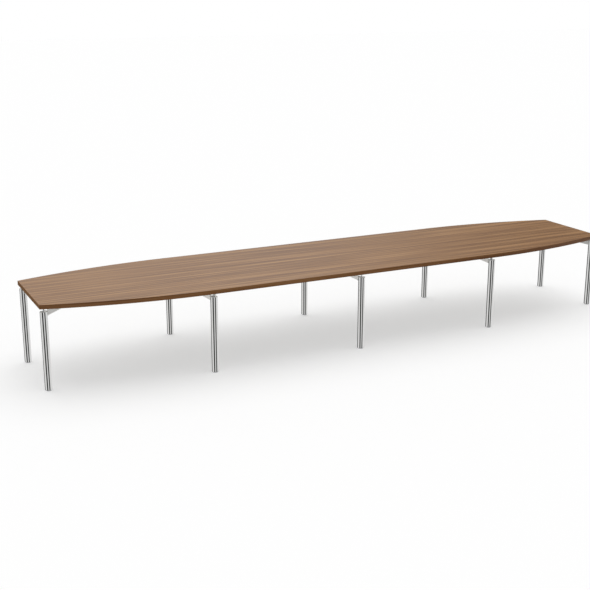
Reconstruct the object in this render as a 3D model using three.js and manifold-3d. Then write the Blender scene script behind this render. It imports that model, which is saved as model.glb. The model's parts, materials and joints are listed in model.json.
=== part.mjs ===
// Boat-shaped conference table: four veneered panels end to end on ten round tube legs.
// Millimetres, +Z up. The origin lies on the floor under the middle of the table,
// +X runs along its length and -Y is its front.

import * as THREE from 'three';
import { mergeVertices } from 'three/addons/utils/BufferGeometryUtils.js';
import Module from 'manifold-3d';

// Top
const PANEL_LENGTH = 1400;
const TABLE_WIDTH = 1200;
const END_WIDTH = 800;
const TABLE_HEIGHT = 725;
const TOP_THICKNESS = 36;
const SEAM_GAP = 0.3;

// Legs
const LEG_DIAMETER = 60;
const LEG_WALL = 2;
const LEG_SETBACK = 6;
const LEG_TOP_DROP = 29;
const FOOT_PLATE_THICKNESS = 6;

// Domed caps plugged into the leg tops and the pins that stand in them
const CAP_DEPTH = 20;
const CAP_RISE = 3;
const PIN_DIAMETER = 9;
const PIN_SOCKET_DEPTH = 10;

// Two-armed leg brackets
const ARM_REACH = 265;
const ARM_WIDTH = 40;
const ARM_SPREAD = THREE.MathUtils.degToRad(60);
const FLANGE_THICKNESS = 4;
const FLANGE_RUN_BACK = 10;
const WEB_THICKNESS = 8;
const WEB_DEPTH = 66;
const WEB_TIP_INSET = 6;
const COLLAR_THICKNESS = 8;
const COLLAR_WRAP = THREE.MathUtils.degToRad(80);
const BRACKET_SCREW_INSET = 60;

// Levelling glides
const GLIDE_DIAMETER = 52;
const GLIDE_HEIGHT = 5;
const GLIDE_CHAMFER = 1;
const GLIDE_STEM_DIAMETER = 10;
const GLIDE_TRAVEL = 15;
const GLIDE_THREAD_RESERVE = 10;

// Plates under the seams
const SEAM_PLATE_LENGTH = 160;
const SEAM_PLATE_WIDTH = 60;
const SEAM_PLATE_THICKNESS = 4;
const SEAM_PLATE_SPACING = 400;
const SEAM_PLATE_SCREW_INSET = 15;

// Fits
const SEAT_GAP = 0.3;
const FIT_CLEARANCE = 0.3;
const SCREW_HOLE_DIAMETER = 5.5;

// Facets of the round forms
const BOW_STEPS = 20;
const LEG_SIDES = 24;
const GLIDE_SIDES = 16;
const PIN_SIDES = 12;
const DOME_STEPS = 4;
const COLLAR_STEPS = 12;
const ARM_STEPS = 8;
const HOLE_SIDES = 8;

// Heights and radii that follow from the sizes above
const UNDERSIDE = TABLE_HEIGHT - TOP_THICKNESS;
const LEG_TOP = UNDERSIDE - LEG_TOP_DROP;
const TUBE_FOOT = GLIDE_HEIGHT + SEAT_GAP;
const FOOT_PLATE_TOP = TUBE_FOOT + FOOT_PLATE_THICKNESS;
const LEG_RADIUS = LEG_DIAMETER / 2;
const TUBE_BORE = LEG_RADIUS - LEG_WALL;
const LEG_INSET = LEG_RADIUS + LEG_SETBACK;
const BOW_DROP = (TABLE_WIDTH - END_WIDTH) / 2;
const BOW_RADIUS = (PANEL_LENGTH ** 2 + BOW_DROP ** 2) / (2 * BOW_DROP);
const BOW_CENTRE_Y = TABLE_WIDTH / 2 - BOW_RADIUS;

const walnut = new THREE.MeshStandardMaterial({ color: 0x8b6b50, roughness: 0.45, metalness: 0 });
const chrome = new THREE.MeshStandardMaterial({ color: 0xd5d7d8, roughness: 0.08, metalness: 1 });
const satinAluminium = new THREE.MeshStandardMaterial({ color: 0xbdbfbe, roughness: 0.4, metalness: 0.8 });
const zincSteel = new THREE.MeshStandardMaterial({ color: 0x9b9d9f, roughness: 0.4, metalness: 1 });

const wasm = await Module();
wasm.setup();

function solidOf(geometry) {
  geometry.deleteAttribute('normal');
  geometry.deleteAttribute('uv');
  const merged = mergeVertices(geometry);
  return new wasm.Manifold(new wasm.Mesh({
    numProp: 3,
    vertProperties: merged.attributes.position.array,
    triVerts: new Uint32Array(merged.index.array),
  }));
}

function geometryOf(solid) {
  const { vertProperties, triVerts } = solid.getMesh();
  const geometry = new THREE.BufferGeometry();
  geometry.setAttribute('position', new THREE.BufferAttribute(vertProperties, 3));
  geometry.setIndex(new THREE.BufferAttribute(triVerts, 1));
  return geometry;
}

// A profile of [radius, height] points, run anticlockwise, turned about +Z.
function turned(profile, sides) {
  const points = profile.map(([radius, height]) => new THREE.Vector2(radius, height));
  return new THREE.LatheGeometry(points, sides).rotateX(Math.PI / 2);
}

// A flat outline in XY raised from one height to another. Each arc in it is split into
// arcSteps straight steps, which is twice what curveSegments says.
function raised(outline, low, high, arcSteps = 2) {
  const settings = { depth: high - low, curveSegments: arcSteps / 2, bevelEnabled: false };
  return new THREE.ExtrudeGeometry(outline, settings).translate(0, 0, low);
}

function roundHole(x, y, diameter) {
  return new THREE.Path().absarc(x, y, diameter / 2, 0, 2 * Math.PI, true);
}

function rectangle(length, width) {
  const outline = new THREE.Shape();
  outline.moveTo(-length / 2, -width / 2);
  outline.lineTo(length / 2, -width / 2);
  outline.lineTo(length / 2, width / 2);
  outline.lineTo(-length / 2, width / 2);
  return outline;
}

function middlePanel() {
  return raised(rectangle(PANEL_LENGTH - SEAM_GAP, TABLE_WIDTH), UNDERSIDE, TABLE_HEIGHT);
}

// The right-hand end panel: both long sides bow in from the seam to the straight end edge.
function endPanel() {
  const seamX = PANEL_LENGTH + SEAM_GAP / 2;
  const seamAngle = Math.acos((seamX - PANEL_LENGTH) / BOW_RADIUS);
  const endAngle = Math.acos(PANEL_LENGTH / BOW_RADIUS);
  const outline = new THREE.Shape();
  outline.absarc(PANEL_LENGTH, -BOW_CENTRE_Y, BOW_RADIUS, -seamAngle, -endAngle, false);
  outline.absarc(PANEL_LENGTH, BOW_CENTRE_Y, BOW_RADIUS, endAngle, seamAngle, false);
  return raised(outline, UNDERSIDE, TABLE_HEIGHT, BOW_STEPS);
}

// A tube, open at the top, with a threaded plate across its foot.
function legTube() {
  const threadBore = GLIDE_STEM_DIAMETER / 2 + FIT_CLEARANCE;
  return turned([
    [threadBore, TUBE_FOOT],
    [LEG_RADIUS, TUBE_FOOT],
    [LEG_RADIUS, LEG_TOP],
    [TUBE_BORE, LEG_TOP],
    [TUBE_BORE, FOOT_PLATE_TOP],
    [threadBore, FOOT_PLATE_TOP],
    [threadBore, TUBE_FOOT],
  ], LEG_SIDES);
}

// A cap whose plug closes the tube, with a low dome on top and a socket for the pin.
function legCap() {
  const plug = TUBE_BORE - FIT_CLEARANCE;
  const socket = PIN_DIAMETER / 2 + FIT_CLEARANCE;
  const domeEnd = Math.acos(socket / plug);
  const profile = [
    [0, LEG_TOP - CAP_DEPTH],
    [plug, LEG_TOP - CAP_DEPTH],
  ];
  for (let step = 0; step <= DOME_STEPS; step += 1) {
    const angle = domeEnd * step / DOME_STEPS;
    profile.push([plug * Math.cos(angle), LEG_TOP + CAP_RISE * Math.sin(angle)]);
  }
  profile.push([socket, LEG_TOP - PIN_SOCKET_DEPTH], [0, LEG_TOP - PIN_SOCKET_DEPTH]);
  return turned(profile, LEG_SIDES);
}

function spacerPin() {
  const low = LEG_TOP - PIN_SOCKET_DEPTH + SEAT_GAP;
  const high = UNDERSIDE - SEAT_GAP;
  return turned([
    [0, low],
    [PIN_DIAMETER / 2, low],
    [PIN_DIAMETER / 2, high],
    [0, high],
  ], PIN_SIDES);
}

// A round pad on the floor with a threaded stem that stays in the foot plate when run out.
function levellingGlide() {
  const pad = GLIDE_DIAMETER / 2;
  const stem = GLIDE_STEM_DIAMETER / 2;
  const stemTop = FOOT_PLATE_TOP + GLIDE_TRAVEL + GLIDE_THREAD_RESERVE;
  return turned([
    [0, 0],
    [pad - GLIDE_CHAMFER, 0],
    [pad, GLIDE_CHAMFER],
    [pad, GLIDE_HEIGHT],
    [stem, GLIDE_HEIGHT],
    [stem, stemTop],
    [0, stemTop],
  ], GLIDE_SIDES);
}

// One arm along +X: a drilled flange under the top, on a web that tapers to its tip. The flange runs back
// past the root of the web, so that the flanges of the two arms meet over the leg.
function bracketArm(root) {
  const top = UNDERSIDE - SEAT_GAP;
  const flangeFoot = top - FLANGE_THICKNESS;
  const flangeRoot = root - FLANGE_RUN_BACK;
  const tipCentre = ARM_REACH - ARM_WIDTH / 2;
  const screwOffset = (ARM_WIDTH + WEB_THICKNESS) / 4;

  const flange = new THREE.Shape();
  flange.absarc(tipCentre, 0, ARM_WIDTH / 2, -Math.PI / 2, Math.PI / 2, false);
  flange.lineTo(flangeRoot, ARM_WIDTH / 2);
  flange.lineTo(flangeRoot, -ARM_WIDTH / 2);
  for (const side of [-1, 1]) {
    flange.holes.push(roundHole(ARM_REACH - BRACKET_SCREW_INSET, side * screwOffset, SCREW_HOLE_DIAMETER));
  }

  const web = new THREE.Shape();
  web.moveTo(root, UNDERSIDE - WEB_DEPTH);
  web.lineTo(ARM_REACH - WEB_TIP_INSET, flangeFoot);
  web.lineTo(ARM_REACH - WEB_TIP_INSET, top - FLANGE_THICKNESS / 2);
  web.lineTo(root, top - FLANGE_THICKNESS / 2);
  const webPlate = raised(web, -WEB_THICKNESS / 2, WEB_THICKNESS / 2).rotateX(Math.PI / 2);

  return solidOf(raised(flange, flangeFoot, top, ARM_STEPS)).add(solidOf(webPlate));
}

// Two arms on a collar that clasps the inner side of the leg, facing along +X.
function legBracket() {
  const wrapStep = COLLAR_WRAP / COLLAR_STEPS;
  const inner = (LEG_RADIUS + FIT_CLEARANCE) / Math.cos(wrapStep / 2);
  const outer = inner + COLLAR_THICKNESS;

  const collar = new THREE.Shape();
  collar.absarc(0, 0, outer, -COLLAR_WRAP / 2, COLLAR_WRAP / 2, false);
  collar.absarc(0, 0, inner, COLLAR_WRAP / 2, -COLLAR_WRAP / 2, true);

  const root = (inner + outer) / 2;
  let bracket = solidOf(raised(collar, UNDERSIDE - WEB_DEPTH, LEG_TOP, COLLAR_STEPS));
  for (const side of [-1, 1]) {
    const turn = THREE.MathUtils.radToDeg(side * ARM_SPREAD / 2);
    bracket = bracket.add(bracketArm(root).rotate([0, 0, turn]));
  }
  return geometryOf(bracket);
}

// A flat plate that lies across a seam, with a screw near each corner.
function seamPlate() {
  const outline = rectangle(SEAM_PLATE_LENGTH, SEAM_PLATE_WIDTH);
  const screwX = SEAM_PLATE_LENGTH / 2 - SEAM_PLATE_SCREW_INSET;
  const screwY = SEAM_PLATE_WIDTH / 2 - SEAM_PLATE_SCREW_INSET;
  for (const x of [-screwX, screwX]) {
    for (const y of [-screwY, screwY]) {
      outline.holes.push(roundHole(x, y, SCREW_HOLE_DIAMETER));
    }
  }
  const top = UNDERSIDE - SEAT_GAP;
  return raised(outline, top - SEAM_PLATE_THICKNESS, top, HOLE_SIDES);
}

function named(name, geometry, material) {
  const mesh = new THREE.Mesh(geometry, material);
  mesh.name = name;
  return mesh;
}

// The four panels, left to right.
function tableTop() {
  const group = new THREE.Group();
  const endLeft = named('top_end_left', endPanel(), walnut);
  endLeft.rotation.z = Math.PI;
  const middleLeft = named('top_middle_left', middlePanel(), walnut);
  middleLeft.position.x = -PANEL_LENGTH / 2;
  const middleRight = named('top_middle_right', middlePanel(), walnut);
  middleRight.position.x = PANEL_LENGTH / 2;
  const endRight = named('top_end_right', endPanel(), walnut);
  group.add(endLeft, middleLeft, middleRight, endRight);
  return group;
}

// Where the legs of one row stand, left to right: on the seams, and inside the end corners.
// end is -1 or 1 at an end of the table and 0 between.
function legPlaces(row) {
  const endX = 2 * PANEL_LENGTH - LEG_INSET;
  const endY = BOW_CENTRE_Y + Math.sqrt((BOW_RADIUS - LEG_INSET) ** 2 - (endX - PANEL_LENGTH) ** 2);
  const middleY = TABLE_WIDTH / 2 - LEG_INSET;
  const places = [];
  places.push({ x: -endX, y: row * endY, end: -1 });
  for (const seamX of [-PANEL_LENGTH, 0, PANEL_LENGTH]) {
    places.push({ x: seamX, y: row * middleY, end: 0 });
  }
  places.push({ x: endX, y: row * endY, end: 1 });
  return places;
}

function legSet(label, place, row) {
  const group = new THREE.Group();
  group.position.set(place.x, place.y, 0);
  const bracket = named(`leg_bracket_${label}`, legBracket(), satinAluminium);
  bracket.rotation.z = Math.atan2(-row, -place.end);
  group.add(
    named(`leg_tube_${label}`, legTube(), chrome),
    named(`leg_cap_${label}`, legCap(), chrome),
    named(`spacer_pin_${label}`, spacerPin(), zincSteel),
    bracket,
    named(`levelling_glide_${label}`, levellingGlide(), zincSteel),
  );
  return group;
}

function legRows() {
  const group = new THREE.Group();
  for (const [rowName, row] of [['front', -1], ['back', 1]]) {
    legPlaces(row).forEach((place, index) => group.add(legSet(`${rowName}_${index + 1}`, place, row)));
  }
  return group;
}

function seamPlates() {
  const group = new THREE.Group();
  for (const [seamName, seamX] of [['left', -PANEL_LENGTH], ['centre', 0], ['right', PANEL_LENGTH]]) {
    for (const [rowName, row] of [['front', -1], ['back', 1]]) {
      const plate = named(`seam_plate_${seamName}_${rowName}`, seamPlate(), zincSteel);
      plate.position.set(seamX, row * SEAM_PLATE_SPACING / 2, 0);
      group.add(plate);
    }
  }
  return group;
}

const table = new THREE.Group();
table.name = 'conference_table';
table.add(tableTop(), legRows(), seamPlates());

export default table;
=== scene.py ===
"""A boat-shaped conference table: walnut-veneered panels on chromed tube legs. Metres, +Z up."""

import json
import math

import bmesh
import bpy
from mathutils import Matrix, Vector

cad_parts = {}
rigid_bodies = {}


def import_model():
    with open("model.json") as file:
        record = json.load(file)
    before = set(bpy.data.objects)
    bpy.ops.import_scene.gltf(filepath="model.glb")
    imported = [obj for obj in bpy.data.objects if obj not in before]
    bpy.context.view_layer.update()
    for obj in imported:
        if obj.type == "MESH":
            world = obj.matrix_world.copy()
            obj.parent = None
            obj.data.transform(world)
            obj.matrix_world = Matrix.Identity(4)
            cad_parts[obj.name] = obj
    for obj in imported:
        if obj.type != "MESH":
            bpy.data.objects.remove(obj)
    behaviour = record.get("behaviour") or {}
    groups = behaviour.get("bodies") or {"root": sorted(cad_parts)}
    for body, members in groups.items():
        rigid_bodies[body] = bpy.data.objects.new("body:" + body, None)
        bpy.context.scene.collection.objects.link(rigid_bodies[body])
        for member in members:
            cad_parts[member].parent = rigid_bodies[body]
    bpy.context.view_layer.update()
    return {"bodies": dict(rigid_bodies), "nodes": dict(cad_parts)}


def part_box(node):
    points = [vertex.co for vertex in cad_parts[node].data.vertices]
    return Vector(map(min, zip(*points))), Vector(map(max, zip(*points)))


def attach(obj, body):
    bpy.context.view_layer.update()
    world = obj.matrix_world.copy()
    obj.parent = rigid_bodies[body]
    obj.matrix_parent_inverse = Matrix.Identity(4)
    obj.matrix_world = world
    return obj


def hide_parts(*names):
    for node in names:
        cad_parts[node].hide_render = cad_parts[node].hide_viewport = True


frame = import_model()
scene = bpy.context.scene

ROWS = {"front": -1, "back": 1}
LABELS = [f"{row}_{number}" for row in ROWS for number in range(1, 6)]
SEAMS = ("left", "centre", "right")
PANELS = ("top_end_left", "top_middle_left", "top_middle_right", "top_end_right")

# Heights and main sizes, measured on the frame
panel_low, panel_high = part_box("top_middle_right")
end_low, end_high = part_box("top_end_right")
tube_low, tube_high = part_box("leg_tube_front_3")
pin_low, pin_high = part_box("spacer_pin_front_3")
bracket_low, bracket_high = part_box("leg_bracket_front_3")
glide_low, glide_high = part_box("levelling_glide_front_3")
plate_low, plate_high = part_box("seam_plate_centre_front")
TOP = panel_high.z
UNDERSIDE = panel_low.z
HALF_WIDTH = panel_high.y
SEAM_X = end_low.x
END_X = end_high.x
LEG_RADIUS = (tube_high.x - tube_low.x) / 2
LEG_TOP = tube_high.z
TUBE_FOOT = tube_low.z
PIN_RADIUS = (pin_high.x - pin_low.x) / 2
PIN_FOOT = pin_low.z
BRACKET_FOOT = bracket_low.z
BRACKET_TOP = bracket_high.z
GLIDE_RADIUS = (glide_high.x - glide_low.x) / 2
GLIDE_TOP = glide_high.z
PLATE_FOOT = plate_low.z
PLATE_TOP = plate_high.z
PLATE_LENGTH = plate_high.x - plate_low.x
PLATE_WIDTH = plate_high.y - plate_low.y

# Board edges
LIPPING = 0.002
LIPPING_EASE = 0.0009
LIPPING_EASE_STEPS = 3
SEAM_EASE = 0.0005
FACING_DOWN = -0.9

# Legs
TUBE_WALL = 0.002
TUBE_EASE = 0.0008
CAP_DEPTH = 0.020
CAP_RISE = 0.003
CAP_EASE = 0.0007
FIT_CLEARANCE = 0.0003
PIN_SOCKET_DEPTH = 0.010
PIN_EASE = 0.0005
FOOT_PLATE = 0.006
THREAD_RADIUS = 0.005
THREAD_PITCH = 0.0015
THREAD_DEPTH = 0.0009
THREAD_RUN_OUT = 0.001
STEM_TIP_SHARE = 0.8
GLIDE_PAD = 0.005
PAD_EASE = 0.0011

# Brackets
ARM_REACH = 0.265
ARM_WIDTH = 0.040
ARM_HALF_SPREAD = math.radians(30)
FLANGE = 0.004
FLANGE_RUN_BACK = 0.010
WEB = 0.008
WEB_TIP_INSET = 0.006
COLLAR = 0.008
COLLAR_HALF_WRAP = math.radians(40)
COLLAR_CLEARANCE = 0.0006
SEAT_GAP = 0.0003
CASTING_EASE = 0.0012
ARM_SCREW_INSET = 0.060
COLLAR_BOLT_HEIGHTS = (0.632, 0.650)

# Seam plates
PLATE_SCREW_INSET = 0.015
PLATE_CORNER = 0.006
PLATE_EASE = 0.0005
SCREW_HOLE = 0.0055
CUT_MARGIN = 0.002

# Screws and bolts: radius and height of the head, radius of the driver socket
PAN_HEAD = (0.0050, 0.0030, 0.0021)
BUTTON_HEAD = (0.0055, 0.0032, 0.0023)
SHANK_RADIUS = 0.0024
SHANK_LENGTH = 0.012
CROWN_SHARE = 0.45
CROWN_DRAW_IN = 0.5
SOCKET_SIDES = 6
SOCKET_FLOOR_SHARE = 0.4
SOCKET_CUT_SHARE = 1.2

# How finely the forms are divided and smoothed
BOW_STEPS = 72
TUBE_SIDES = 96
CAP_SIDES = 72
CAP_STEPS = 14
PIN_SIDES = 40
GLIDE_SIDES = 48
THREAD_STEPS = 6
TIP_STEPS = 16
COLLAR_STEPS = 32
CORNER_STEPS = 6
HOLE_SIDES = 24
SCREW_SIDES = 36
DOME_STEPS = 6
TURNED_EASE_STEPS = 3
BEVEL_STEPS = 2
EASED_ANGLE = math.radians(30)
SHARP_ANGLE = math.radians(35)
FLAT_AREA = 1e-4
NEAR = 1e-5


class Value:
    """A socket of a node tree, so that shader maths reads as Python."""

    def __init__(self, finish, socket):
        self.finish = finish
        self.socket = socket

    def __add__(self, other):
        return self.finish.maths("ADD", self, other)

    def __sub__(self, other):
        return self.finish.maths("SUBTRACT", self, other)

    def __rsub__(self, other):
        return self.finish.maths("SUBTRACT", other, self)

    def __mul__(self, other):
        return self.finish.maths("MULTIPLY", self, other)

    def __truediv__(self, other):
        return self.finish.maths("DIVIDE", self, other)

    def __pow__(self, other):
        return self.finish.maths("POWER", self, other)

    __radd__ = __add__
    __rmul__ = __mul__


class Finish:
    """The nodes of one material or of the world."""

    def __init__(self, owner):
        owner.use_nodes = True
        self.owner = owner
        self.tree = owner.node_tree
        self.tree.nodes.clear()

    def node(self, kind, settings=None, sockets=None, out=0):
        made = self.tree.nodes.new(kind)
        for key, setting in (settings or {}).items():
            if key == "stops":
                self.set_stops(made.color_ramp, setting)
            else:
                setattr(made, key, setting)
        for key, value in (sockets or {}).items():
            if isinstance(value, Value):
                self.tree.links.new(value.socket, made.inputs[key])
            else:
                made.inputs[key].default_value = value
        return Value(self, made.outputs[out]) if made.outputs else made

    @staticmethod
    def set_stops(ramp, stops):
        while len(ramp.elements) < len(stops):
            ramp.elements.new(1.0)
        for element, (position, colour) in zip(ramp.elements, stops):
            element.position = position
            element.color = colour

    def maths(self, operation, first, second):
        return self.node("ShaderNodeMath", {"operation": operation}, {0: first, 1: second})

    def point(self):
        """The point on the piece that is shaded."""
        return self.node("ShaderNodeTexCoord", out="Object")

    def split(self, vector):
        """The X, Y and Z of a vector."""
        parts = self.node("ShaderNodeSeparateXYZ", {}, {"Vector": vector}).socket.node.outputs
        return {axis: Value(self, parts[axis]) for axis in "XYZ"}

    def noise(self, point, scale, detail=2.0, roughness=0.5):
        return self.node("ShaderNodeTexNoise", {}, {
            "Vector": point, "Scale": scale, "Detail": detail, "Roughness": roughness})

    def streaks(self, point, scales, detail=2.0, roughness=0.5):
        """Noise with a scale of its own along each axis."""
        stretched = self.node("ShaderNodeMapping", {}, {"Vector": point, "Scale": scales})
        return self.noise(stretched, 1.0, detail, roughness)

    def smooth_range(self, value, low, high):
        return self.node("ShaderNodeMapRange", {"interpolation_type": "SMOOTHSTEP"}, {
            "Value": value, "From Min": low, "From Max": high})

    def blend(self, factor, first, second):
        return self.node("ShaderNodeMix", {"data_type": "RGBA"}, {0: factor, 6: first, 7: second}, out=2)

    def bump(self, height, strength, distance):
        return self.node("ShaderNodeBump", {}, {"Height": height, "Strength": strength, "Distance": distance})

    def surface(self, sockets):
        shader = self.node("ShaderNodeBsdfPrincipled", {}, sockets)
        self.node("ShaderNodeOutputMaterial", {}, {"Surface": shader})
        return self.owner


def rgb(red, green, blue):
    """A colour as it looks on screen, in 0 to 255, for a colour socket."""
    def linear(part):
        part /= 255
        return part / 12.92 if part <= 0.04045 else ((part + 0.055) / 1.055) ** 2.4
    return linear(red), linear(green), linear(blue), 1.0


# Finishes

# Walnut grain: where its pattern starts, how often each layer changes in a metre along, across and in
# depth, how far its lines sway and how much each layer counts in its tone
GRAIN_START = (21.9, 8.2)
GRAIN_WANDER = (0.5, 1.6, 1.0)
GRAIN_SWAY = 0.04
GRAIN_BANDS = (0.35, 24.0, 1.0)
GRAIN_STREAKS = (1.0, 64.0, 1.0)
GRAIN_LINES = (1.4, 190.0, 1.0)
GRAIN_FIBRES = (14.0, 620.0, 1.0)
GRAIN_PORES = (45.0, 1500.0, 1.0)
BANDS_SHARE = 0.36
STREAKS_SHARE = 0.38
LINES_SHARE = 0.26

# Lipping: how far its colour is darkened towards dark brown, as painted shade for edges that get less light
# than the top, and its gloss
LIPPING_PAINTED_SHADE = 0.55
# The end strip is darkened less than the long strips: painted shade, lightened by a painted sheen for the
# light its face catches at a grazing angle
LIPPING_END_PAINTED_SHADE = 0.35
LIPPING_GLOSS = 0.25


def walnut(name, axes="XY", painted_shade=0.0, gloss=0.5):
    """Lacquered walnut veneer. Axes names the ways along and across its grain, and the third argument darkens
    its colour towards dark brown, as painted shade.
    """
    finish = Finish(bpy.data.materials.new(name))
    parts = finish.split(finish.point())
    along = parts[axes[0]] + GRAIN_START[0]
    across = parts[axes[1]] + GRAIN_START[1]
    point = finish.node("ShaderNodeCombineXYZ", {}, {"X": along, "Y": across})
    wander = finish.streaks(point, GRAIN_WANDER)
    sway = finish.node("ShaderNodeCombineXYZ", {}, {"Y": (wander - 0.5) * GRAIN_SWAY})
    swayed = finish.node("ShaderNodeVectorMath", {"operation": "ADD"}, {0: point, 1: sway})
    bands = finish.streaks(swayed, GRAIN_BANDS)
    streaks = finish.streaks(swayed, GRAIN_STREAKS, detail=4.0, roughness=0.6)
    lines = finish.streaks(swayed, GRAIN_LINES, detail=3.0, roughness=0.6)
    fibres = finish.streaks(point, GRAIN_FIBRES, detail=3.0, roughness=0.65)
    pores = finish.smooth_range(finish.streaks(point, GRAIN_PORES, detail=1.0), 0.66, 0.78)

    layers = streaks * STREAKS_SHARE + lines * LINES_SHARE + bands * BANDS_SHARE
    tone = finish.smooth_range(layers, 0.42, 0.58)
    heart = finish.node("ShaderNodeValToRGB", {"stops": [
        (0.0, rgb(106, 69, 36)),
        (0.35, rgb(132, 92, 53)),
        (0.65, rgb(146, 104, 62)),
        (1.0, rgb(170, 128, 84)),
    ]}, {"Fac": tone})
    fibred = finish.blend(finish.smooth_range(fibres, 0.30, 0.72) * 0.30, heart, rgb(168, 127, 84))
    pored = finish.blend(pores * 0.45, fibred, rgb(74, 49, 29))
    # The third argument blends the colour towards dark brown: painted shade on the lipping
    return finish.surface({
        "Base Color": finish.blend(painted_shade, pored, rgb(100, 56, 16)),
        "Roughness": 0.36 + fibres * 0.10 + pores * 0.15,
        "IOR": 1.5,
        "Specular IOR Level": gloss,
        "Normal": finish.bump(fibres * 0.5 - pores, strength=0.08, distance=0.0004),
    })


def balancing_sheet():
    """The plain pale sheet on the underside of the board."""
    finish = Finish(bpy.data.materials.new("underside_sheet"))
    point = finish.point()
    grain = finish.streaks(point, scales=(1.5, 60.0, 1.0), detail=3.0, roughness=0.6)
    speckle = finish.noise(point, scale=900.0)
    colour = finish.blend(finish.smooth_range(grain, 0.3, 0.7), rgb(206, 202, 195), rgb(218, 215, 209))
    return finish.surface({
        "Base Color": colour,
        "Roughness": 0.58 + speckle * 0.15,
        "Normal": finish.bump(speckle, strength=0.10, distance=0.0003),
    })


def chrome():
    """Polished chrome plating with faint wiping marks."""
    finish = Finish(bpy.data.materials.new("chrome_plating"))
    point = finish.point()
    wiped = finish.streaks(point, scales=(14.0, 14.0, 2.0), detail=3.0, roughness=0.6)
    smudge = finish.smooth_range(finish.noise(point, scale=9.0), 0.48, 0.75)
    return finish.surface({
        "Base Color": finish.blend(smudge * 0.5, rgb(234, 234, 233), rgb(224, 224, 222)),
        "Metallic": 1.0,
        "Roughness": 0.02 + wiped * 0.02 + smudge * 0.03,
        "Normal": finish.bump(wiped, strength=0.02, distance=0.0004),
    })


def cast_aluminium():
    """Satin cast aluminium, bead-blasted, a little brighter on worn edges."""
    finish = Finish(bpy.data.materials.new("satin_aluminium"))
    point = finish.point()
    blasted = finish.noise(point, scale=1400.0, roughness=0.6)
    cloud = finish.noise(point, scale=16.0, detail=3.0, roughness=0.55)
    worn = finish.smooth_range(finish.node("ShaderNodeNewGeometry", out="Pointiness"), 0.53, 0.62)
    satin = finish.blend(finish.smooth_range(cloud, 0.3, 0.7), rgb(240, 238, 234), rgb(247, 246, 243))
    return finish.surface({
        "Base Color": finish.blend(worn * 0.6, satin, rgb(251, 251, 250)),
        "Metallic": 1.0,
        "Roughness": 0.42 + cloud * 0.10 - worn * 0.08,
        "Normal": finish.bump(blasted, strength=0.10, distance=0.0003),
    })


def zinc_steel():
    """Zinc-plated steel with a faint spangle and rolling lines."""
    finish = Finish(bpy.data.materials.new("zinc_steel"))
    point = finish.point()
    spangle = finish.node("ShaderNodeTexVoronoi", {}, {"Vector": point, "Scale": 160.0})
    cloud = finish.noise(point, scale=30.0, detail=3.0, roughness=0.6)
    rolled = finish.streaks(point, scales=(30.0, 900.0, 900.0))
    tone = finish.smooth_range(cloud * 0.6 + spangle * 0.4, 0.2, 0.8)
    return finish.surface({
        "Base Color": finish.blend(tone, rgb(176, 179, 183), rgb(202, 204, 206)),
        "Metallic": 1.0,
        "Roughness": 0.28 + cloud * 0.14,
        "Normal": finish.bump(rolled, strength=0.06, distance=0.0002),
    })


finishes = {
    "walnut": walnut("walnut_veneer"),
    # The long lipping is darkened as painted shade, since its faces get less light than the top
    "lipping_long": walnut("lipping_long", "XZ", LIPPING_PAINTED_SHADE, LIPPING_GLOSS),
    # The end lipping gets less painted shade than the long lipping, as a painted sheen
    "lipping_end": walnut("lipping_end", "YZ", LIPPING_END_PAINTED_SHADE, LIPPING_GLOSS),
    "sheet": balancing_sheet(),
    "chrome": chrome(),
    "aluminium": cast_aluminium(),
    "steel": zinc_steel(),
}


# Mesh helpers


def finished(name, mesh, materials, flat_area=math.inf):
    """An object from a finished mesh, smooth but for sharp edges and for faces over a given area."""
    for material in materials:
        mesh.materials.append(material)
    mesh.set_sharp_from_angle(angle=SHARP_ANGLE)
    mesh.polygons.foreach_set("use_smooth", [face.area < flat_area for face in mesh.polygons])
    made = bpy.data.objects.new(name, mesh)
    scene.collection.objects.link(made)
    return made


def carry(made, body, node=None):
    """Lets a piece ride on a body and hides the node of the frame that it replaces, if any."""
    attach(made, body)
    if node:
        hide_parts(node)


def mesh_of(name, form):
    bmesh.ops.recalc_face_normals(form, faces=form.faces)
    mesh = bpy.data.meshes.new(name)
    form.to_mesh(mesh)
    form.free()
    return mesh


def arc(centre, radius, start, end, steps):
    """Points along an arc from one angle to another."""
    points = []
    for step in range(steps + 1):
        angle = start + (end - start) * step / steps
        points.append((centre[0] + radius * math.cos(angle), centre[1] + radius * math.sin(angle)))
    return points


def ring(centre, radius, sides):
    """The corners of a regular polygon."""
    return arc(centre, radius, 0, 2 * math.pi * (sides - 1) / sides, sides - 1)


def raised_form(outline, low, high):
    """A closed prism over a flat outline of (x, y) points."""
    form = bmesh.new()
    foot = [form.verts.new((x, y, low)) for x, y in outline]
    head = [form.verts.new((x, y, high)) for x, y in outline]
    form.faces.new(list(reversed(foot)))
    form.faces.new(head)
    for here in range(len(outline)):
        after = (here + 1) % len(outline)
        form.faces.new((foot[here], foot[after], head[after], head[here]))
    return form


def turned_form(profile, sides):
    """A profile of (radius, height) points turned about Z. One that starts off the axis is a closed loop."""
    form = bmesh.new()
    rings = []
    for radius, height in profile:
        if radius == 0:
            rings.append([form.verts.new((0, 0, height))])
            continue
        rings.append([form.verts.new((x, y, height)) for x, y in ring((0, 0), radius, sides)])
    pairs = list(zip(rings, rings[1:]))
    if profile[0][0] != 0:
        pairs.append((rings[-1], rings[0]))
    for lower, upper in pairs:
        for step in range(sides):
            after = (step + 1) % sides
            corners = [lower[step % len(lower)], lower[after % len(lower)],
                       upper[after % len(upper)], upper[step % len(upper)]]
            face = []
            for corner in corners:
                if corner not in face:
                    face.append(corner)
            if len(face) > 2:
                form.faces.new(face)
    return form


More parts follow.
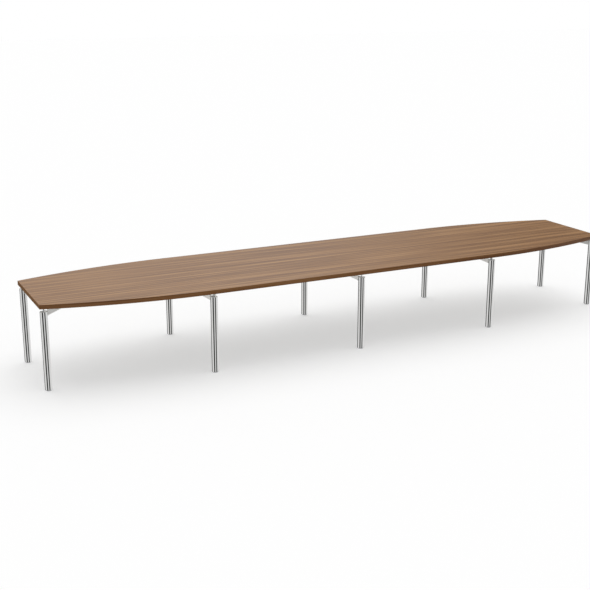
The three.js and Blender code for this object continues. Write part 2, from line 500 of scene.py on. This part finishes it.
def eased(profile, size):
    """A (radius, height) profile with each marked corner rounded. A point is (radius, height, mark)."""
    rounded = []
    for index, (radius, height, mark) in enumerate(profile):
        if not mark:
            rounded.append((radius, height))
            continue
        corner = Vector((radius, height))
        before = Vector(profile[index - 1][:2])
        after = Vector(profile[(index + 1) % len(profile)][:2])
        start = corner + (before - corner).normalized() * size
        end = corner + (after - corner).normalized() * size
        for step in range(TURNED_EASE_STEPS + 1):
            t = step / TURNED_EASE_STEPS
            point = start * (1 - t) ** 2 + corner * 2 * t * (1 - t) + end * t ** 2
            rounded.append((max(point.x, 0.0), point.y))
    return rounded


def bevelled(form, width):
    """Rounds every sharp edge of a form."""
    form.normal_update()
    edges = [edge for edge in form.edges
             if len(edge.link_faces) == 2 and edge.calc_face_angle(0) > EASED_ANGLE]
    bmesh.ops.bevel(form, geom=edges, offset=width, segments=BEVEL_STEPS, profile=0.5,
                    affect="EDGES", clamp_overlap=True)
    return form


def joined(name, meshes):
    """Several closed meshes, each with its place, in one mesh."""
    form = bmesh.new()
    for mesh, place in meshes:
        first = len(form.verts)
        form.from_mesh(mesh)
        form.verts.ensure_lookup_table()
        bmesh.ops.transform(form, matrix=place, verts=form.verts[first:])
    mesh = bpy.data.meshes.new(name)
    form.to_mesh(mesh)
    form.free()
    return mesh


def merged(name, forms, operation):
    """One closed solid: the first form with the others joined to it or cut from it."""
    solids = []
    for index, form in enumerate(forms):
        solid = bpy.data.objects.new(f"{name}_{index}", mesh_of(f"{name}_{index}", form))
        scene.collection.objects.link(solid)
        solids.append(solid)
    whole = solids[0]
    for other in solids[1:]:
        step = whole.modifiers.new("step", "BOOLEAN")
        step.operation = operation
        step.solver = "EXACT"
        step.object = other
    graph = bpy.context.evaluated_depsgraph_get()
    mesh = bpy.data.meshes.new_from_object(whole.evaluated_get(graph))
    mesh.name = name
    for solid in solids:
        bpy.data.objects.remove(solid)
    return mesh


# Top panels


def end_half_width():
    """Half the width of the table at its straight ends, read from the end panel's corners."""
    vertices = frame["nodes"]["top_end_right"].data.vertices
    return max(vertex.co.y for vertex in vertices if vertex.co.x > END_X - NEAR)


END_HALF_WIDTH = end_half_width()


def bowed_side(inset):
    """The bowed back side of the right end panel from its seam to its end, moved inwards by inset."""
    drop = HALF_WIDTH - END_HALF_WIDTH
    length = END_X - SEAM_X
    radius = (length ** 2 + drop ** 2) / (2 * drop)
    centre = (SEAM_X, HALF_WIDTH - radius)
    last = math.asin((length - inset) / (radius - inset))
    return arc(centre, radius - inset, math.pi / 2, math.pi / 2 - last, BOW_STEPS)


def straight_side(half, inset):
    """The straight back side of a middle panel, moved inwards by inset."""
    return [(-half, HALF_WIDTH - inset), (half, HALF_WIDTH - inset)]


def mirrored(side):
    """A back side moved to the front."""
    return [(x, -y) for x, y in side]


def board(name, outline, seams, turn):
    """A panel inside its lipping, with eased edges along its seams."""
    form = raised_form(outline, UNDERSIDE, TOP)
    edges = []
    for edge in form.edges:
        ends = [vertex.co for vertex in edge.verts]
        on_seam = any(all(abs(end.x - seam) < NEAR for end in ends) for seam in seams)
        if on_seam and ends[0].z == ends[1].z:
            edges.append(edge)
    bmesh.ops.bevel(form, geom=edges, offset=SEAM_EASE, segments=BEVEL_STEPS, profile=0.5,
                    affect="EDGES")
    form.normal_update()
    for face in form.faces:
        face.material_index = 1 if face.normal.z < FACING_DOWN else 0
    form.transform(turn)
    return finished(name, mesh_of(name, form), [finishes["walnut"], finishes["sheet"]], FLAT_AREA)


def strip(name, outer, inner, turn, material):
    """A lipping strip between an outer and an inner line, with eased outer edges."""
    form = raised_form(outer + list(reversed(inner)), UNDERSIDE, TOP)
    form.verts.ensure_lookup_table()
    count = len(outer) + len(inner)
    outside = set(form.verts[:len(outer)]) | set(form.verts[count:count + len(outer)])
    edges = [edge for edge in form.edges
             if outside.issuperset(edge.verts) and edge.verts[0].co.z == edge.verts[1].co.z]
    bmesh.ops.bevel(form, geom=edges, offset=LIPPING_EASE, segments=LIPPING_EASE_STEPS, profile=0.5,
                    affect="EDGES", clamp_overlap=True)
    form.transform(turn)
    return finished(name, mesh_of(name, form), [material])


def make_top():
    """The panels, drawn in table coordinates so that the grain runs through all four."""
    for node in PANELS:
        low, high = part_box(node)
        is_end = "end" in node
        if is_end:
            turn = Matrix.Rotation(math.pi if low.x < 0 else 0, 4, "Z")
            seams = [SEAM_X]
            outer = bowed_side(0)
            inner = bowed_side(LIPPING)
        else:
            turn = Matrix.Translation(((low.x + high.x) / 2, 0, 0))
            half = (high.x - low.x) / 2
            seams = [-half, half]
            outer = straight_side(half, 0)
            inner = straight_side(half, LIPPING)
        outline = mirrored(inner) + list(reversed(inner))
        pieces = [board(f"{node}_board", outline, seams, turn)]
        long_sides = {"front": (mirrored(outer), mirrored(inner)), "back": (outer, inner)}
        for row, (outside, inside) in long_sides.items():
            pieces.append(strip(f"{node}_lipping_{row}", outside, inside, turn, finishes["lipping_long"]))
        if is_end:
            inner_half = inner[-1][1]
            outside = [(END_X, -END_HALF_WIDTH), (END_X, END_HALF_WIDTH)]
            inside = [(END_X - LIPPING, -inner_half), (END_X - LIPPING, inner_half)]
            pieces.append(strip(f"{node}_lipping_end", outside, inside, turn, finishes["lipping_end"]))
        for piece in pieces:
            carry(piece, "table", node)


# Legs


def tube_mesh():
    bore = LEG_RADIUS - TUBE_WALL
    thread = THREAD_RADIUS + FIT_CLEARANCE
    profile = [
        (thread, TUBE_FOOT, False),
        (LEG_RADIUS, TUBE_FOOT, True),
        (LEG_RADIUS, LEG_TOP, True),
        (bore, LEG_TOP, True),
        (bore, TUBE_FOOT + FOOT_PLATE, False),
        (thread, TUBE_FOOT + FOOT_PLATE, False),
    ]
    return mesh_of("leg_tube", turned_form(eased(profile, TUBE_EASE), TUBE_SIDES))


def cap_mesh():
    """A low-domed cap with a plug in the tube and a socket for the pin."""
    plug = LEG_RADIUS - TUBE_WALL - FIT_CLEARANCE
    socket = PIN_RADIUS + FIT_CLEARANCE
    dome_end = math.acos(socket / plug)
    profile = [(0.0, LEG_TOP - CAP_DEPTH), (plug - CAP_EASE, LEG_TOP - CAP_DEPTH)]
    profile.append((plug, LEG_TOP - CAP_DEPTH + CAP_EASE))
    for step in range(CAP_STEPS + 1):
        angle = dome_end * step / CAP_STEPS
        profile.append((plug * math.cos(angle), LEG_TOP + CAP_RISE * math.sin(angle)))
    profile += [(socket, LEG_TOP - PIN_SOCKET_DEPTH), (0.0, LEG_TOP - PIN_SOCKET_DEPTH)]
    return mesh_of("leg_cap", turned_form(profile, CAP_SIDES))


def pin_mesh():
    head = UNDERSIDE - SEAT_GAP
    profile = [
        (0.0, PIN_FOOT, False),
        (PIN_RADIUS, PIN_FOOT, True),
        (PIN_RADIUS, head, True),
        (0.0, head, False),
    ]
    return mesh_of("spacer_pin", turned_form(eased(profile, PIN_EASE), PIN_SIDES))


def glide_mesh():
    """A pad with eased edges, and a stem with a screw thread along it."""
    thread_low = GLIDE_PAD + THREAD_RUN_OUT
    thread_high = GLIDE_TOP - THREAD_RUN_OUT
    core = THREAD_RADIUS - THREAD_DEPTH
    profile = [
        (0.0, 0.0, False),
        (GLIDE_RADIUS, 0.0, True),
        (GLIDE_RADIUS, GLIDE_PAD, True),
        (core, GLIDE_PAD, False),
    ]
    points = eased(profile, PAD_EASE)
    steps = round((thread_high - thread_low) / THREAD_PITCH * THREAD_STEPS)
    for step in range(steps + 1):
        points.append((core, thread_low + (thread_high - thread_low) * step / steps))
    points += [(core * STEM_TIP_SHARE, GLIDE_TOP), (0.0, GLIDE_TOP)]
    form = turned_form(points, GLIDE_SIDES)
    for vertex in form.verts:
        if thread_low + NEAR < vertex.co.z < thread_high - NEAR:
            turn = math.atan2(vertex.co.y, vertex.co.x) / (2 * math.pi)
            phase = (vertex.co.z / THREAD_PITCH - turn) % 1.0
            radius = core + THREAD_DEPTH * (1 - abs(2 * phase - 1))
            vertex.co.xy = vertex.co.xy.normalized() * radius
    return mesh_of("levelling_glide", form)


# Brackets


def arm_forms(root, turn):
    """The flange and web of one arm, turned about the leg axis."""
    flange_foot = BRACKET_TOP - FLANGE
    tip = ARM_REACH - ARM_WIDTH / 2
    outline = arc((tip, 0), ARM_WIDTH / 2, -math.pi / 2, math.pi / 2, TIP_STEPS)
    flange_root = root - FLANGE_RUN_BACK
    outline += [(flange_root, ARM_WIDTH / 2), (flange_root, -ARM_WIDTH / 2)]
    flange = raised_form(outline, flange_foot, BRACKET_TOP)

    web_tip = ARM_REACH - WEB_TIP_INSET
    middle = BRACKET_TOP - FLANGE / 2
    side_view = [(root, BRACKET_FOOT), (web_tip, flange_foot), (web_tip, middle), (root, middle)]
    web = raised_form(side_view, -WEB / 2, WEB / 2)
    bmesh.ops.rotate(web, matrix=Matrix.Rotation(math.pi / 2, 3, "X"), verts=web.verts)
    for form in (flange, web):
        bevelled(form, CASTING_EASE)
        bmesh.ops.rotate(form, matrix=Matrix.Rotation(turn, 3, "Z"), verts=form.verts)
    return [flange, web]


def bracket_mesh():
    """A collar against the leg with two arms, facing +X."""
    inner = LEG_RADIUS + COLLAR_CLEARANCE
    outer = inner + COLLAR
    wrap = COLLAR_HALF_WRAP
    collar = arc((0, 0), outer, -wrap, wrap, COLLAR_STEPS) + arc((0, 0), inner, wrap, -wrap, COLLAR_STEPS)
    forms = [bevelled(raised_form(collar, BRACKET_FOOT, LEG_TOP), CASTING_EASE)]
    for side in (-1, 1):
        forms += arm_forms((inner + outer) / 2, side * ARM_HALF_SPREAD)
    return merged("leg_bracket", forms, "UNION")


# Screws and seam plates


def screw_mesh(name, head_radius, head_height, socket_radius):
    """A domed head standing on z = 0, with a driver socket in its crown and a shank below."""
    crown = head_height * CROWN_SHARE
    profile = [
        (0.0, -SHANK_LENGTH),
        (SHANK_RADIUS, -SHANK_LENGTH),
        (SHANK_RADIUS, 0.0),
        (head_radius, 0.0),
        (head_radius, head_height - crown),
    ]
    for step in range(1, DOME_STEPS):
        angle = math.pi / 2 * step / DOME_STEPS
        reach = head_radius * (1 - (1 - math.cos(angle)) * CROWN_DRAW_IN)
        profile.append((reach, head_height - crown + crown * math.sin(angle)))
    profile.append((0.0, head_height))
    head = turned_form(profile, SCREW_SIDES)
    outline = ring((0, 0), socket_radius, SOCKET_SIDES)
    socket = raised_form(outline, head_height * SOCKET_FLOOR_SHARE, head_height * SOCKET_CUT_SHARE)
    return merged(name, [head, socket], "DIFFERENCE")


# How a screw is turned from standing on z = 0: its head downwards, or towards +X
HANGING = Matrix.Rotation(math.pi, 4, "X")
OUTWARDS = Matrix.Rotation(math.pi / 2, 4, "Y")
pan_head = screw_mesh("pan_head_screw", *PAN_HEAD)
button_head = screw_mesh("button_head_bolt", *BUTTON_HEAD)


def bracket_screws():
    """The screws through both arms and the bolts through the collar, for a bracket facing +X."""
    placed = []
    seat = BRACKET_TOP - FLANGE
    for side in (-1, 1):
        turn = Matrix.Rotation(side * ARM_HALF_SPREAD, 4, "Z")
        for offset in (-1, 1):
            spot = (ARM_REACH - ARM_SCREW_INSET, offset * (ARM_WIDTH + WEB) / 4, seat)
            placed.append((pan_head, turn @ Matrix.Translation(spot) @ HANGING))
    for height in COLLAR_BOLT_HEIGHTS:
        spot = (LEG_RADIUS + COLLAR_CLEARANCE + COLLAR, 0, height)
        placed.append((button_head, Matrix.Translation(spot) @ OUTWARDS))
    return joined("bracket_screws", placed)


def plate_screw_spots():
    x = PLATE_LENGTH / 2 - PLATE_SCREW_INSET
    y = PLATE_WIDTH / 2 - PLATE_SCREW_INSET
    return [(-x, -y), (-x, y), (x, -y), (x, y)]


def plate_mesh():
    """A steel plate with rounded corners and a hole for each screw, centred on the axis."""
    outline = []
    for index, (x, y) in enumerate(((1, 1), (-1, 1), (-1, -1), (1, -1))):
        centre = (x * (PLATE_LENGTH / 2 - PLATE_CORNER), y * (PLATE_WIDTH / 2 - PLATE_CORNER))
        start = index * math.pi / 2
        outline += arc(centre, PLATE_CORNER, start, start + math.pi / 2, CORNER_STEPS)
    forms = [raised_form(outline, PLATE_FOOT, PLATE_TOP)]
    for spot in plate_screw_spots():
        hole = ring(spot, SCREW_HOLE / 2, HOLE_SIDES)
        forms.append(raised_form(hole, PLATE_FOOT - CUT_MARGIN, PLATE_TOP + CUT_MARGIN))
    form = bmesh.new()
    form.from_mesh(merged("seam_plate", forms, "DIFFERENCE"))
    return mesh_of("seam_plate", bevelled(form, PLATE_EASE))


def make_seam_plates():
    plate = plate_mesh()
    heads = [(pan_head, Matrix.Translation((x, y, PLATE_FOOT)) @ HANGING) for x, y in plate_screw_spots()]
    screws = joined("plate_screws", heads)
    for seam in SEAMS:
        for row in ROWS:
            node = f"seam_plate_{seam}_{row}"
            low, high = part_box(node)
            middle = (low + high) / 2
            body = finished(f"{node}_piece", plate.copy(), [finishes["steel"]], FLAT_AREA)
            fixings = finished(f"{node}_screws", screws.copy(), [finishes["steel"]])
            for piece in (body, fixings):
                piece.location = (middle.x, middle.y, 0)
            carry(body, "table", node)
            carry(fixings, "table")


def leg_turn(label):
    """The way a leg's bracket faces: inwards, and diagonally so at the ends of the table."""
    row, number = label.split("_")
    end = {"1": -1, "5": 1}.get(number, 0)
    return Matrix.Rotation(math.atan2(-ROWS[row], -end), 4, "Z")


def make_legs():
    meshes = {
        "leg_tube": (tube_mesh(), "chrome", "chrome"),
        "leg_cap": (cap_mesh(), "chrome", "chrome"),
        "spacer_pin": (pin_mesh(), "steel", "zinc_steel"),
        "leg_bracket": (bracket_mesh(), "aluminium", "satin_aluminium"),
        "levelling_glide": (glide_mesh(), "steel", "zinc_steel"),
    }
    fixings = bracket_screws()
    for label in LABELS:
        low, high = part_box(f"leg_tube_{label}")
        axis = (low + high) / 2
        for kind, (mesh, finish, slot) in meshes.items():
            node = f"{kind}_{label}"
            turned = mesh.copy()
            flat_area = math.inf
            if kind == "leg_bracket":
                turned.transform(leg_turn(label))
                flat_area = FLAT_AREA
            piece = finished(f"{node}_piece", turned, [finishes[finish]], flat_area)
            piece.location = (axis.x, axis.y, 0)
            body = f"glide_{label}" if kind == "levelling_glide" else "table"
            carry(piece, body, node)
        turned = fixings.copy()
        turned.transform(leg_turn(label))
        screws = finished(f"leg_bracket_{label}_screws", turned, [finishes["steel"]])
        screws.location = (axis.x, axis.y, 0)
        carry(screws, "table")


make_top()
make_legs()
make_seam_plates()


# Stage, light and camera

WHITE = (1.0, 1.0, 1.0, 1.0)
PHOTO_WIDTH = 590
SENSOR_WIDTH = 36.0
CAMERA_FOCUS = 1056.7
CAMERA_PLACE = (-4.475, -8.385, 3.103)
CAMERA_DIP = math.radians(16.181)
CAMERA_TURN = math.radians(26.035)
AMBIENT = 0.55
SUN_STRENGTH = 1.45
SUN_SPREAD = math.radians(70)
SUN_TOWARDS = (-0.2, -0.24, -1.0)
FLOOR_HALF_SIZE = 60.0
FLOOR_GAP = 0.0002
FLOOR_BOUNCE = (0.60, 0.60, 0.60, 1.0)
FLOOR_GLOW = 0.43
# What the metal and the lacquer mirror above and below the horizon: a brightness, darkened by flags
# given as azimuth from +X, half angle and depth. A flag fades between two shares of its half angle.
HORIZON_FADE = 0.06
FLAG_OUTER_SHARE = 1.4
FLAG_INNER_SHARE = 0.7
SKY_GLOSS = 0.79
SKY_FLAGS = (
    (math.radians(34.5), math.radians(21), 0.72),
    (math.radians(102), math.radians(24), 0.15),
)
FLOOR_GLOSS = 0.80
FLOOR_FLAGS = (
    (math.radians(222), math.radians(19), 0.78),
    (math.radians(292), math.radians(17), 0.76),
    (math.radians(109), math.radians(26), 0.74),
)
TINY = 1e-6


def make_floor():
    """A pale floor that looks white where it is lit and keeps a soft shadow. It is clear from below."""
    form = bmesh.new()
    bmesh.ops.create_grid(form, x_segments=1, y_segments=1, size=FLOOR_HALF_SIZE)
    finish = Finish(bpy.data.materials.new("pale_floor"))
    seen = finish.node("ShaderNodeLightPath", out="Is Camera Ray")
    matt = finish.node("ShaderNodeBsdfDiffuse", {}, {"Color": finish.blend(seen, FLOOR_BOUNCE, WHITE)})
    glow = finish.node("ShaderNodeEmission", {}, {"Color": WHITE, "Strength": 1.0})
    lit = finish.node("ShaderNodeMixShader", {}, {0: seen * FLOOR_GLOW, 1: matt, 2: glow})
    below = finish.node("ShaderNodeNewGeometry", out="Backfacing")
    clear = finish.node("ShaderNodeBsdfTransparent")
    sided = finish.node("ShaderNodeMixShader", {}, {0: below, 1: lit, 2: clear})
    finish.node("ShaderNodeOutputMaterial", {}, {"Surface": sided})
    floor = finished("floor", mesh_of("floor", form), [finish.owner])
    floor.location.z = -FLOOR_GAP
    floor.visible_glossy = False
    return floor


def lay_under_glides(floor):
    """Keeps the floor just under the glide that is run out furthest."""
    for label in LABELS:
        rule = floor.constraints.new("FLOOR")
        rule.target = frame["bodies"][f"glide_{label}"]
        rule.floor_location = "FLOOR_NEGATIVE_Z"
        rule.offset = -FLOOR_GAP


def make_world():
    """White to the camera, an even light on matt surfaces, and a studio for the metal to mirror."""
    world = bpy.data.worlds.new("studio")
    scene.world = world
    finish = Finish(world)
    x, y, z = finish.split(finish.node("ShaderNodeTexCoord", out="Generated")).values()
    level = (x * x + y * y + TINY) ** 0.5
    camera = finish.node("ShaderNodeLightPath", out="Is Camera Ray")
    glossy = finish.node("ShaderNodeLightPath", out="Is Glossy Ray")

    def flagged(brightness, flags):
        seen = brightness
        for azimuth, half_angle, depth in flags:
            facing = (x * math.cos(azimuth) + y * math.sin(azimuth)) / level
            outer = math.cos(half_angle * FLAG_OUTER_SHARE)
            inner = math.cos(half_angle * FLAG_INNER_SHARE)
            seen = seen - finish.smooth_range(facing, outer, inner) * depth
        return seen

    above = finish.smooth_range(z, -HORIZON_FADE, HORIZON_FADE)
    studio = above * flagged(SKY_GLOSS, SKY_FLAGS) + (1 - above) * flagged(FLOOR_GLOSS, FLOOR_FLAGS)
    strength = camera + glossy * studio + (1 - camera - glossy) * AMBIENT
    sky = finish.node("ShaderNodeBackground", {}, {"Color": WHITE, "Strength": strength})
    finish.node("ShaderNodeOutputWorld", {}, {"Surface": sky})


def make_sun():
    lamp = bpy.data.lights.new("soft_daylight", "SUN")
    lamp.energy = SUN_STRENGTH
    lamp.angle = SUN_SPREAD
    made = bpy.data.objects.new("soft_daylight", lamp)
    made.rotation_euler = Vector(SUN_TOWARDS).to_track_quat("-Z", "Y").to_euler()
    scene.collection.objects.link(made)


def make_camera():
    camera = bpy.data.cameras.new("camera")
    camera.sensor_width = SENSOR_WIDTH
    camera.lens = CAMERA_FOCUS / PHOTO_WIDTH * SENSOR_WIDTH
    made = bpy.data.objects.new("camera", camera)
    made.location = CAMERA_PLACE
    made.rotation_euler = (math.pi / 2 - CAMERA_DIP, 0, -CAMERA_TURN)
    scene.collection.objects.link(made)
    scene.camera = made


scene.view_settings.view_transform = "Standard"
lay_under_glides(make_floor())
make_world()
make_sun()
make_camera()
